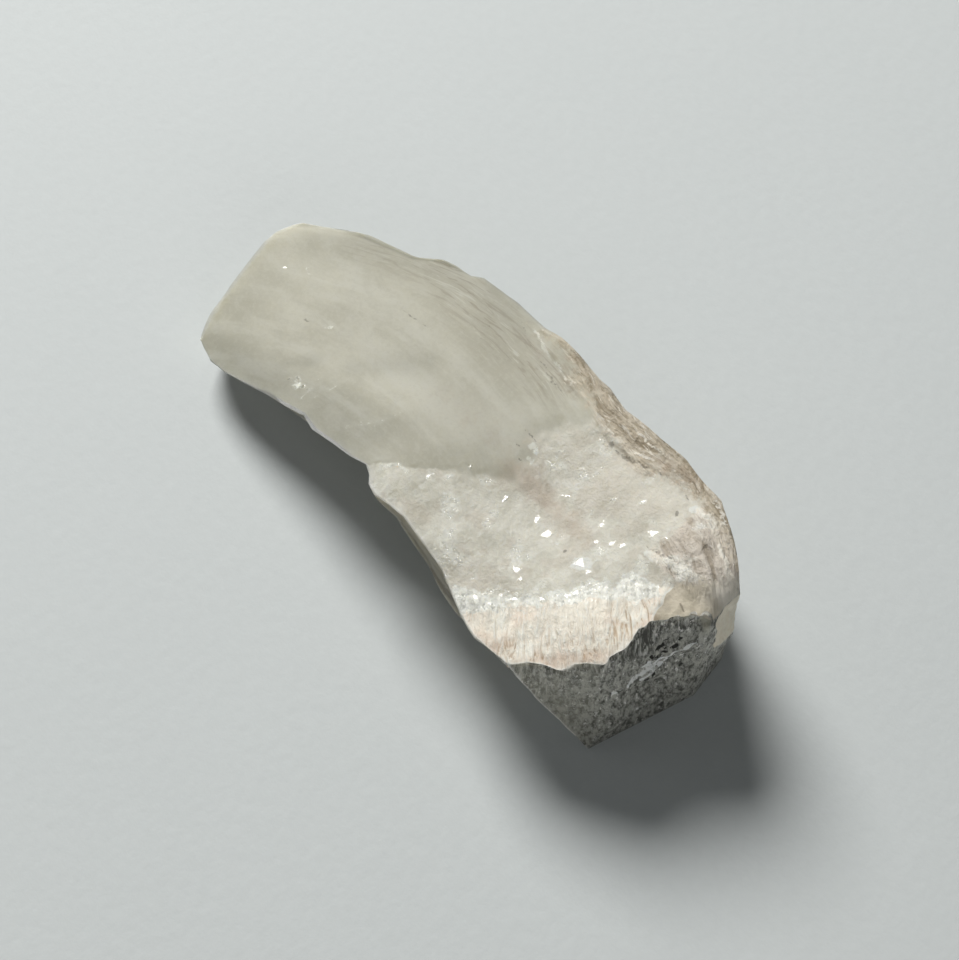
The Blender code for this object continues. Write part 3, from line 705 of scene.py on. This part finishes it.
def glint_faces(p, zone):
    """Set small flat faces into the top, each turned halfway between the camera and the key lamp.
    Also returns how far each point belongs to one."""
    shine = np.zeros(len(p))
    rng = np.random.default_rng(71)
    for x, y, radius in GLINTS:
        sides, size = rng.integers(3, 5), radius * GLINT_SIZE
        turn = rng.uniform(0.0, math.pi) + np.arange(sides) * 2.0 * math.pi / sides
        turn = turn + rng.uniform(-0.35, 0.35, sides)
        reach = rng.uniform(0.45, 1.0, sides)
        dx, dy = (p[:, 0] - x)[:, None], (p[:, 1] - y)[:, None]
        away = ((dx * np.cos(turn) + dy * np.sin(turn)) / reach).max(axis=1)
        near = (away < size) & (zone.top > 0.6)
        if not near.any():
            continue
        centre = p[near].mean(axis=0)
        facing = unit(unit(CAMERA_AT - centre) + unit(KEY_AT - centre))
        slope = (p[:, 0] - centre[0]) * facing[0] + (p[:, 1] - centre[1]) * facing[1]
        level = centre[2] + GLINT_HEIGHT - slope / facing[2]
        share = smooth_step((size - away) / (size * 0.3)) * near
        p[:, 2] += (level - p[:, 2]) * share
        shine = np.maximum(shine, share)
    return p, shine


def crystal_surface():
    """Points of the finished grid, and the zones that the material reads."""
    grid = crystal_grid()
    p, normal = grid.reshape(-1, 3), grid_normals(grid).reshape(-1, 3)
    zone = SimpleNamespace()
    facing_zones(p, normal, zone)
    edge_zones(grid, zone)
    stone_zones(p, zone)
    stroke_zones(p, zone)
    moved = relieved(p, normal, zone)
    for point, facing in CLEAVAGES:
        moved = plane_off(moved, point, facing)
    moved[:, 2] = np.maximum(moved[:, 2], 0.0)
    moved, zone.glint = glint_faces(moved, zone)
    trade_corners(p, zone)
    return np.clip(moved + RECENTRE, BOX_LOW, BOX_HIGH).reshape(grid.shape), zone


def grid_mesh(name, grid):
    """A closed mesh from rings of points: bands of quads, and a fan over each end ring."""
    rings, count = grid.shape[:2]
    centres = np.stack((grid[0].mean(axis=0), grid[-1].mean(axis=0)))
    points = np.concatenate((grid.reshape(-1, 3), centres)) * MM
    row = np.arange(rings - 1)[:, None] * count
    first = np.arange(count)
    here, after, last = first[None, :], (first[None, :] + 1) % count, (first + 1) % count
    quads = np.stack((row + here, row + count + here, row + count + after, row + after), axis=-1)
    base, middle = (rings - 1) * count, np.full(count, rings * count)
    tip_fan = np.stack((middle, first, last), axis=-1)
    end_fan = np.stack((base + first, middle + 1, base + last), axis=-1)
    faces = quads.reshape(-1, 4).tolist() + tip_fan.tolist() + end_fan.tolist()
    mesh = bpy.data.meshes.new(name)
    mesh.from_pydata(points.tolist(), [], faces)
    mesh.validate()
    mesh.shade_smooth()
    mesh.set_sharp_from_angle(angle=SHARP_ANGLE)
    return mesh


def add_attribute(mesh, name, values):
    """A number at every point, which the material reads by name."""
    padded = np.concatenate((values, (values[0], values[-1]))).astype(np.float32)
    mesh.attributes.new(name, "FLOAT", "POINT").data.foreach_set("value", padded)


# ---------------- material tools
class Maker:
    """Short ways to add and join nodes of one material."""

    def __init__(self, name):
        self.material = bpy.data.materials.new(name)
        self.material.use_nodes = True
        self.tree = self.material.node_tree
        self.shader = self.tree.nodes["Principled BSDF"]
        self.place = self.tree.nodes.new("ShaderNodeTexCoord").outputs["Object"]

    def put(self, socket, value):
        """A socket gets a link if the value is one, or else the number or colour itself."""
        if isinstance(value, bpy.types.NodeSocket):
            self.tree.links.new(value, socket)
        elif isinstance(value, tuple) and len(value) == 3 and socket.type == "RGBA":
            socket.default_value = (*value, 1.0)
        else:
            socket.default_value = value

    def fill(self, node, inputs):
        """Inputs by name, with underscores for spaces."""
        for name, value in inputs.items():
            self.put(node.inputs[name.replace("_", " ")], value)

    def node(self, kind, settings=None, **inputs):
        """A new node with its settings and its inputs."""
        node = self.tree.nodes.new("ShaderNode" + kind)
        for name, value in (settings or {}).items():
            setattr(node, name, value)
        self.fill(node, inputs)
        return node

    def set(self, **inputs):
        """Inputs of the shader."""
        self.fill(self.shader, inputs)

    def step(self, kind, operation, first, second):
        """A node that works on two values."""
        node = self.node(kind, {"operation": operation})
        self.put(node.inputs[0], first)
        self.put(node.inputs[1], second)
        return node

    def math(self, operation, first, second):
        """One sum, product or other step of two numbers."""
        return self.step("Math", operation, first, second).outputs["Value"]

    def times(self, first, second):
        """The product."""
        return self.math("MULTIPLY", first, second)

    def most(self, first, second):
        """The larger one."""
        return self.math("MAXIMUM", first, second)

    def less(self, first, second):
        """The first without the second."""
        return self.math("SUBTRACT", first, second)

    def pattern(self, place, size, detail, rough, bend):
        """Noise from 0 to 1 whose largest features are about size metres."""
        return self.node("TexNoise", Vector=place, Scale=1.0 / size, Detail=detail,
                         Roughness=rough, Distortion=bend).outputs["Fac"]

    def noise(self, size, detail=3.0, rough=0.55, turn=0.0, scale=(1.0, 1.0, 1.0), bend=0.0):
        """Noise of the object's coordinates, turned about Z and then scaled."""
        turned = self.node("Mapping", Vector=self.place, Rotation=(0.0, 0.0, turn))
        scaled = self.node("Mapping", Vector=turned.outputs["Vector"], Scale=scale)
        return self.pattern(scaled.outputs["Vector"], size, detail, rough, bend)

    def strands(self, size, stretch, detail, rough, bend):
        """Noise whose features run along the far side's own line, stretch times their width."""
        along = self.math("DIVIDE", self.zone("along"), stretch)
        place = self.node("CombineXYZ", X=along, Y=self.zone("across"))
        return self.pattern(place.outputs["Vector"], size, detail, rough, bend)

    def facets(self, size, slope):
        """Flat faces of about size metres, each with its own tilt: height, and a random number."""
        cells = self.node("TexVoronoi", Vector=self.place, Scale=1.0 / size)
        colour = cells.outputs["Color"]
        local = self.step("VectorMath", "SUBTRACT", self.place, cells.outputs["Position"])
        tilt = self.step("VectorMath", "SUBTRACT", colour, (0.5, 0.5, 0.5))
        height = self.step("VectorMath", "DOT_PRODUCT", local.outputs["Vector"],
                           tilt.outputs["Vector"])
        chance = self.node("SeparateXYZ", Vector=colour).outputs["Z"]
        return self.times(height.outputs["Value"], 2.0 * slope), chance

    def crumbled(self, name, noise, reach, soft=0.10):
        """A zone's share with a ragged border: noise pushes it up and down before it is cut."""
        pushed = self.math("ADD", self.zone(name), self.times(self.less(noise, 0.5), reach))
        cut = self.ramp(pushed, 0.5 - soft, 0.5 + soft)
        return self.times(cut, self.ramp(self.zone(name), 0.0, 0.12))

    def ramp(self, value, low, high, out_low=0.0, out_high=1.0):
        """The value spread from low..high to out_low..out_high, and held at the ends."""
        return self.node("MapRange", {"interpolation_type": "SMOOTHSTEP"}, Value=value,
                         From_Min=low, From_Max=high, To_Min=out_low,
                         To_Max=out_high).outputs["Result"]

    def mix(self, share, first, second, blend="MIX"):
        """Two colours mixed by a share."""
        return self.node("Mix", {"data_type": "RGBA", "blend_type": blend}, Factor=share,
                         A=first, B=second).outputs["Result"]

    def share(self, value, low, high, most=1.0, where=None):
        """A share from 0 to the most as the value runs from low to high, in a zone if given."""
        share = self.ramp(value, low, high, 0.0, most)
        return share if where is None else self.times(share, where)

    def layers(self, colour, *rows):
        """A colour with others laid over it.  A row is the other colour and its share, or the
        share and a way to blend, or else what gives the share: value, low, high, most, where."""
        for other, value, *rest in rows:
            if len(rest) < 2:
                colour = self.mix(value, colour, other, *rest)
            else:
                colour = self.mix(self.share(value, *rest), colour, other)
        return colour

    def zone(self, name):
        """A zone's share, from the mesh's own attribute."""
        return self.node("Attribute", {"attribute_name": name}).outputs["Fac"]

    def bumped(self, layers):
        """One bump after another: each is (height, strength, distance in metres)."""
        normal = None
        for height, strength, distance in layers:
            node = self.node("Bump", Height=height, Strength=strength, Distance=distance)
            if normal is not None:
                self.put(node.inputs["Normal"], normal)
            normal = node.outputs["Normal"]
        self.set(Normal=normal)


# ---------------- materials
CLEAR_PALE = (0.60, 0.583, 0.48)
CLEAR_OLIVE = (0.51, 0.495, 0.40)
VEIL = (0.66, 0.65, 0.56)
SUGAR_WHITE = (0.90, 0.88, 0.785)
SUGAR_GREY = (0.685, 0.67, 0.57)
SPARKLE_WHITE = (0.92, 0.93, 0.86)
STAIN = (0.87, 0.81, 0.775)
RIND_CREAM = (0.90, 0.85, 0.74)
RIND_TAN = (0.58, 0.46, 0.33)
RIND_ROSE = (0.86, 0.755, 0.635)
FACET_SHADE_GREY = (0.45, 0.405, 0.31)
FACET_BEIGE = (0.62, 0.56, 0.445)
FOLD_TAN = (0.45, 0.39, 0.31)
FOLD_ROSE = (0.66, 0.60, 0.52)
FIBRE_PALE = (0.72, 0.645, 0.525)
FIBRE_MID = (0.55, 0.48, 0.37)
FIBRE_BROWN = (0.34, 0.285, 0.20)
SEAM_CREAM = (0.86, 0.81, 0.71)
# The broken end's greys are partly painted shade.
END_GREY = (0.56, 0.555, 0.50)
END_DARK = (0.10, 0.10, 0.085)
END_PALE = (0.95, 0.94, 0.90)
SHARD_WHITE = (0.95, 0.96, 0.94)
TOOTH_BEIGE = (0.97, 0.90, 0.75)
TOOTH_TAN = (0.90, 0.81, 0.65)
CRACK_AND_SHADE_DARK = (0.12, 0.10, 0.07)
PIT_SHADE_BLACK = (0.02, 0.02, 0.015)
PAINTED_RIM_GLOW = (0.95, 0.93, 0.86)
NEAR_SHADE_GREY = (0.31, 0.285, 0.225)
NEAR_SHADE_DARK = (0.20, 0.18, 0.135)
STRIA = (0.40, 0.365, 0.28)
# Multiplies in painted shade and the clean blade's olive clouds.
SHADE_AND_CLOUD_TINT = (0.64, 0.65, 0.65)
FLOOR_DARK = (0.575, 0.609, 0.612)
FLOOR_PALE = (0.605, 0.637, 0.640)
FLOOR_SPECK = (0.5, 0.53, 0.53)
FIBRE_TURN = math.radians(-47.0)      # turns the rind's fibres onto the pattern's second axis
STONE_IOR = 1.52


def add_patterns(m):
    """What several parts of the stone share: noises, strands, faces and zones."""
    m.fine = m.noise(0.0007, 4.0, 0.7, scale=(1.0, 1.0, 0.5))
    m.clumps = m.noise(0.0022, 5.0, 0.7, bend=0.4)
    m.threads = m.noise(0.0009, 4.0, 0.65, FIBRE_TURN, (1.0, 0.20, 0.20), 1.5)
    m.fibres = m.strands(0.0017, 4.6, 5.0, 0.7, 1.2)
    m.lines = m.strands(0.0007, 9.0, 3.0, 0.6, 0.8)
    m.creases = m.strands(0.0030, 3.2, 4.0, 0.6, 1.0)
    m.faces, m.chance = m.facets(0.00055, 0.28)
    m.grains, m.tone = m.facets(0.0013, 0.30)
    m.end, m.glint, m.facet, m.veil = (m.zone(name) for name in ("end", "glint", "facet", "veil"))
    m.upper = m.ramp(m.zone("lip"), 0.10, 0.50)
    m.rind = m.crumbled("rind", m.clumps, 1.5)
    m.sugar = m.crumbled("sugar", m.clumps, 0.8, 0.35)
    m.fibrous = m.crumbled("fibrous", m.clumps, 1.2, 0.26)
    m.folds = m.crumbled("folds", m.clumps, 1.2, 0.2)
    m.dark, m.pale = m.crumbled("dark", m.fine, 1.3), m.crumbled("pale", m.fine, 1.3)
    nests = m.times(m.sugar, m.ramp(m.noise(0.0045, 4.0, 0.6), 0.54, 0.64))
    nests = m.times(nests, m.less(0.6, m.times(m.rind, 0.6)))
    m.sparkling = m.most(m.crumbled("sparkle", m.clumps, 1.8), nests)


def clear_colour(m):
    """The clean blade: olive where it is clearest, paler in clouds, veils, long streaks and
    patches of painted light, with painted shade by its edges and on the near wall.
    """
    streaks, striae = m.strands(0.0034, 7.0, 4.0, 0.6, 0.3), m.zone("striae")
    wisps = m.noise(0.004, 5.0, 0.65, scale=(0.5, 1.0, 1.0), bend=0.5)
    # Painted shade for the near wall below the edge.
    under = m.layers(NEAR_SHADE_DARK, (NEAR_SHADE_GREY, m.lines, 0.36, 0.62))
    return m.layers(
        CLEAR_OLIVE, (CLEAR_PALE, m.noise(0.013, 4.0), 0.38, 0.60),
        (VEIL, streaks, 0.47, 0.64, 0.75), (CLEAR_OLIVE, streaks, 0.47, 0.36, 0.5),
        (VEIL, wisps, 0.48, 0.64, 0.45), (CLEAR_OLIVE, wisps, 0.48, 0.36, 0.5),
        (VEIL, m.times(m.most(m.zone("pale"), m.veil), 0.75)),
        (VEIL, m.fine, 0.46, 0.66, 0.4), (CLEAR_OLIVE, m.fine, 0.50, 0.34, 0.3),
        (SPARKLE_WHITE, m.times(m.pale, 0.7)), (STRIA, m.times(striae, 0.27)),
        (STRIA, m.lines, 0.48, 0.37, 0.9, striae), (VEIL, m.lines, 0.56, 0.66, 0.9, striae),
        # Painted shade by the blade's edges and tip, with the olive clouds; then the near wall
        # painted dark as shade.
        (SHADE_AND_CLOUD_TINT, m.zone("deep"), "MULTIPLY"), (under, m.times(m.zone("near"), 0.7)))


def sugar_colour(m):
    """The broken zone: milky, in soft clouds, with a mosaic of grains and pale crumbs."""
    clouds = m.ramp(m.noise(0.006, 5.0, 0.65, bend=0.6), 0.36, 0.62)
    mosaic = m.math("ADD", m.times(m.tone, 0.22), m.times(m.ramp(m.fine, 0.34, 0.66), 0.33))
    rose = m.share(m.noise(0.007, 4.0, 0.6, bend=0.4), 0.48, 0.60, 0.42)
    return m.layers(
        SUGAR_GREY, (SUGAR_WHITE, m.math("ADD", mosaic, m.times(clouds, 0.45))),
        (SPARKLE_WHITE, m.fine, 0.60, 0.68, 0.6), (STAIN, rose, "MULTIPLY"),
        (RIND_CREAM, m.veil), (SPARKLE_WHITE, m.pale))


def fibrous_colour(m):
    """The far ridge: brown, tan and pale strands in patches, with bright splinters."""
    patches = m.noise(0.004, 4.0, 0.7, bend=0.8)
    splinters = m.strands(0.0006, 5.0, 3.0, 0.65, 1.0)
    return m.layers(
        FIBRE_BROWN, (FIBRE_MID, m.fibres, 0.40, 0.50), (FIBRE_PALE, m.fibres, 0.50, 0.62),
        (FIBRE_BROWN, patches, 0.48, 0.38, 0.6), (FIBRE_PALE, patches, 0.54, 0.64, 0.5),
        (SEAM_CREAM, splinters, 0.58, 0.66, 0.8), (FIBRE_BROWN, splinters, 0.42, 0.34, 0.6),
        (SEAM_CREAM, m.pale))


def fold_colour(m):
    """The folds down the right side: tan hollows, rosy flanks and cream crests; the tan is partly
    painted shade and the cream partly painted highlight.
    """
    return m.layers(FOLD_TAN, (FOLD_ROSE, m.creases, 0.38, 0.54),
                    (SEAM_CREAM, m.creases, 0.54, 0.66, 0.9), (SEAM_CREAM, m.pale))


def rind_colour(m):
    """The pale rind: cream, tan threads by its lip, white crumbs, the face beside the arris
    painted greyer, partly as shade, and a painted highlight along the arris.
    """
    lined = m.times(m.ramp(m.zone("lip"), 0.15, 0.55),
                    m.ramp(m.noise(0.005, 3.0, 0.6), 0.40, 0.58, 0.15, 1.0))
    # The face beside the arris, greyer partly as painted shade.
    face = m.layers(FACET_SHADE_GREY, (FACET_BEIGE, m.noise(0.003, 4.0, 0.65), 0.40, 0.60),
                    (SEAM_CREAM, m.veil))
    # Painted highlight along the arris crest.
    crest = m.times(m.ramp(m.facet, 0.02, 0.15), m.ramp(m.facet, 0.35, 0.55, 1.0, 0.0))
    return m.layers(
        RIND_CREAM, (RIND_ROSE, m.noise(0.004, 4.0, 0.6), 0.42, 0.64),
        (RIND_TAN, m.threads, 0.49, 0.38, 1.0, lined), (SPARKLE_WHITE, m.threads, 0.52, 0.62, 0.5),
        (SPARKLE_WHITE, m.fine, 0.54, 0.66, 0.3), (face, m.facet, 0.35, 0.65),
        (SPARKLE_WHITE, m.times(crest, 0.8)))


def end_colour(m):
    """The broken end: dark and grey grains, partly its own colour and partly painted shade, with
    pale flecks, shards, pits and the pale corner.
    """
    grain = m.noise(0.0009, 5.0, 0.8, scale=(1.0, 1.0, 0.5))
    return m.layers(
        END_DARK, (END_GREY, grain, 0.38, 0.60), (END_DARK, m.threads, 0.50, 0.40, 1.0, m.upper),
        (END_PALE, m.threads, 0.53, 0.60, 0.6, m.upper), (END_PALE, m.fine, 0.58, 0.66, 0.9),
        (SHARD_WHITE, m.times(m.pale, m.ramp(grain, 0.36, 0.52, 0.5, 1.0))),
        # Painted shade: the end darker towards the bottom.
        (SHADE_AND_CLOUD_TINT, m.zone("deep"), "MULTIPLY"),
        # Painted shade: the scar's pits nearly black.
        (PIT_SHADE_BLACK, m.zone("dark"), 0.15, 0.40, 1.0, m.ramp(m.chance, 0.50, 0.54)),
        # The pale corner: partly the stone's own beige, partly painted light.
        (m.layers(TOOTH_TAN, (TOOTH_BEIGE, m.fine, 0.36, 0.62)),
         m.crumbled("tooth", m.fine, 0.8, 0.2)))


def stone_colour(m):
    """Every kind of stone laid over the clean blade, then seams and painted highlights, stains,
    pits and painted shade, the end, and painted bright rims.
    """
    return m.layers(
        clear_colour(m), (sugar_colour(m), m.sugar), (fold_colour(m), m.folds),
        (rind_colour(m), m.rind), (SPARKLE_WHITE, m.times(m.sparkling, 0.85)),
        (fibrous_colour(m), m.fibrous),
        (SEAM_CREAM, m.veil, 0.55, 0.95, 0.8, m.most(m.fibrous, m.folds)),
        (STAIN, m.crumbled("warm", m.clumps, 1.2, 0.45), "MULTIPLY"),
        # Dark cracks and pits, painted shade lines, and painted shade in the hollow under the near
        # edge.
        (CRACK_AND_SHADE_DARK, m.times(m.dark, 0.55)), (end_colour(m), m.end),
        # Painted highlight: the bright rims along the near edge and the lip.
        (PAINTED_RIM_GLOW, m.times(m.zone("rim"), 0.75)))


def stone_roughness(m):
    """Satin, but glossy on the small bright faces."""
    glossy = m.times(m.ramp(m.chance, 0.70, 0.74), m.sparkling)
    roughness = m.times(m.ramp(m.fine, 0.3, 0.7, 0.66, 0.80), m.ramp(glossy, 0.0, 0.5, 1.0, 0.18))
    return m.times(roughness, m.ramp(m.glint, 0.0, 1.0, 1.0, 0.08))


def stone_bumps(m, dull):
    """Relief too fine for the mesh: fibres, folds, faces, grains and crumbs."""
    plain = m.less(1.0, m.glint)
    crumbly = m.less(m.most(m.times(m.sugar, 0.55), dull), m.times(m.rind, 0.6))
    crumbly = m.times(plain, m.ramp(crumbly, 0.0, 1.0, 0.10, 0.9))
    threaded = m.most(m.less(m.rind, m.facet), m.times(m.end, m.upper))
    m.bumped([
        (m.threads, m.times(threaded, 0.9), 0.0005),
        (m.fibres, m.times(m.fibrous, 0.9), 0.0009),
        (m.lines, m.times(m.zone("wall"), 0.6), 0.0004),
        (m.creases, m.times(m.folds, 0.9), 0.0014),
        (m.faces, m.times(m.sparkling, plain), 1.0),
        (m.grains, m.times(m.times(m.sugar, 0.22), plain), 1.0),
        (m.fine, crumbly, 0.0006)])


def selenite():
    """Milky gypsum: clear olive blade, white sugary breaks, cream rind, and a grey broken end
    whose grey is partly painted shade.
    """
    m = Maker("selenite")
    add_patterns(m)
    dull = m.most(m.most(m.rind, m.end), m.times(m.most(m.fibrous, m.folds), 0.8))
    dull = m.most(dull, m.times(m.sparkling, 0.5))
    milky = m.times(m.ramp(m.sugar, 0.0, 1.0, 0.9, 0.5), m.ramp(dull, 0.0, 1.0, 1.0, 0.3))
    stone_bumps(m, dull)
    m.set(Base_Color=stone_colour(m), Roughness=stone_roughness(m), IOR=STONE_IOR,
          Transmission_Weight=m.ramp(dull, 0.0, 1.0, 0.25, 0.0), Subsurface_Weight=milky,
          Subsurface_Scale=0.0035, Subsurface_Radius=(1.0, 0.95, 0.8))
    return m.material


def pale_surface():
    """Matt pale blue-grey paint, faintly mottled."""
    m = Maker("pale_surface")
    colour = m.layers(FLOOR_DARK, (FLOOR_PALE, m.noise(0.05, 5.0, 0.65)),
                      (FLOOR_SPECK, m.noise(0.0016, 4.0, 0.7), 0.3, 0.7, 0.14))
    m.bumped([(m.noise(0.0025, 4.0), 0.2, 0.0004)])
    m.set(Base_Color=colour, Roughness=0.75)
    return m.material


# ---------------- the scene
def add_object(name, data):
    """A new object in the scene."""
    item = bpy.data.objects.new(name, data)
    bpy.context.scene.collection.objects.link(item)
    return item


# What the material reads from the mesh.
ATTRIBUTES = ("rind facet sugar sparkle fibrous end tooth glint dark pale warm striae rim deep "
              "lip along across near folds veil wall")


def build_crystal():
    """The crystal as one piece, in place of the solid that it repeats."""
    grid, zone = crystal_surface()
    mesh = grid_mesh("selenite_blade", grid)
    for name in ATTRIBUTES.split():
        add_attribute(mesh, name, getattr(zone, name))
    mesh.materials.append(selenite())
    piece = add_object("selenite_blade", mesh)
    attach(piece, "root")
    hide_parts("crystal_blade")


def build_floor():
    """The plain pale surface that the piece lies on."""
    corners = [(x * FLOOR_REACH, y * FLOOR_REACH, 0.0)
               for x, y in ((-1, -1), (1, -1), (1, 1), (-1, 1))]
    mesh = bpy.data.meshes.new("floor")
    mesh.from_pydata(corners, [], [(0, 1, 2, 3)])
    mesh.materials.append(pale_surface())
    floor = add_object("floor", mesh)


def add_lamp(name, way, size, watts, colour):
    """A round soft lamp that faces the piece."""
    data = bpy.data.lights.new(name, "AREA")
    data.shape = "DISK"
    data.size = size
    data.energy = watts
    data.color = colour
    place = lamp_place(way)
    lamp = add_object(name, data)
    lamp.location = Vector(place * MM)
    lamp.rotation_euler = Vector((AIM - place) * MM).to_track_quat("-Z", "Y").to_euler()


def build_light():
    """A key lamp behind the tip, weak fills at the broken end and the near side, and a dim sky."""
    for lamp in LAMPS:
        add_lamp(*lamp)
    world = bpy.data.worlds.new("sky")
    world.use_nodes = True
    world.node_tree.nodes["Background"].inputs["Color"].default_value = (*SKY, 1.0)
    bpy.context.scene.world = world
    bpy.context.scene.view_settings.view_transform = "Standard"


def build_camera():
    """The camera looks down at the piece from beside its broken end."""
    data = bpy.data.cameras.new("camera")
    data.lens = LENS
    data.clip_start = 0.01
    camera = add_object("camera", data)
    camera.location = Vector(CAMERA_AT * MM)
    camera.rotation_euler = Vector(-camera_back()).to_track_quat("-Z", "Y").to_euler()
    bpy.context.scene.camera = camera


build_camera()
build_light()
build_floor()
build_crystal()
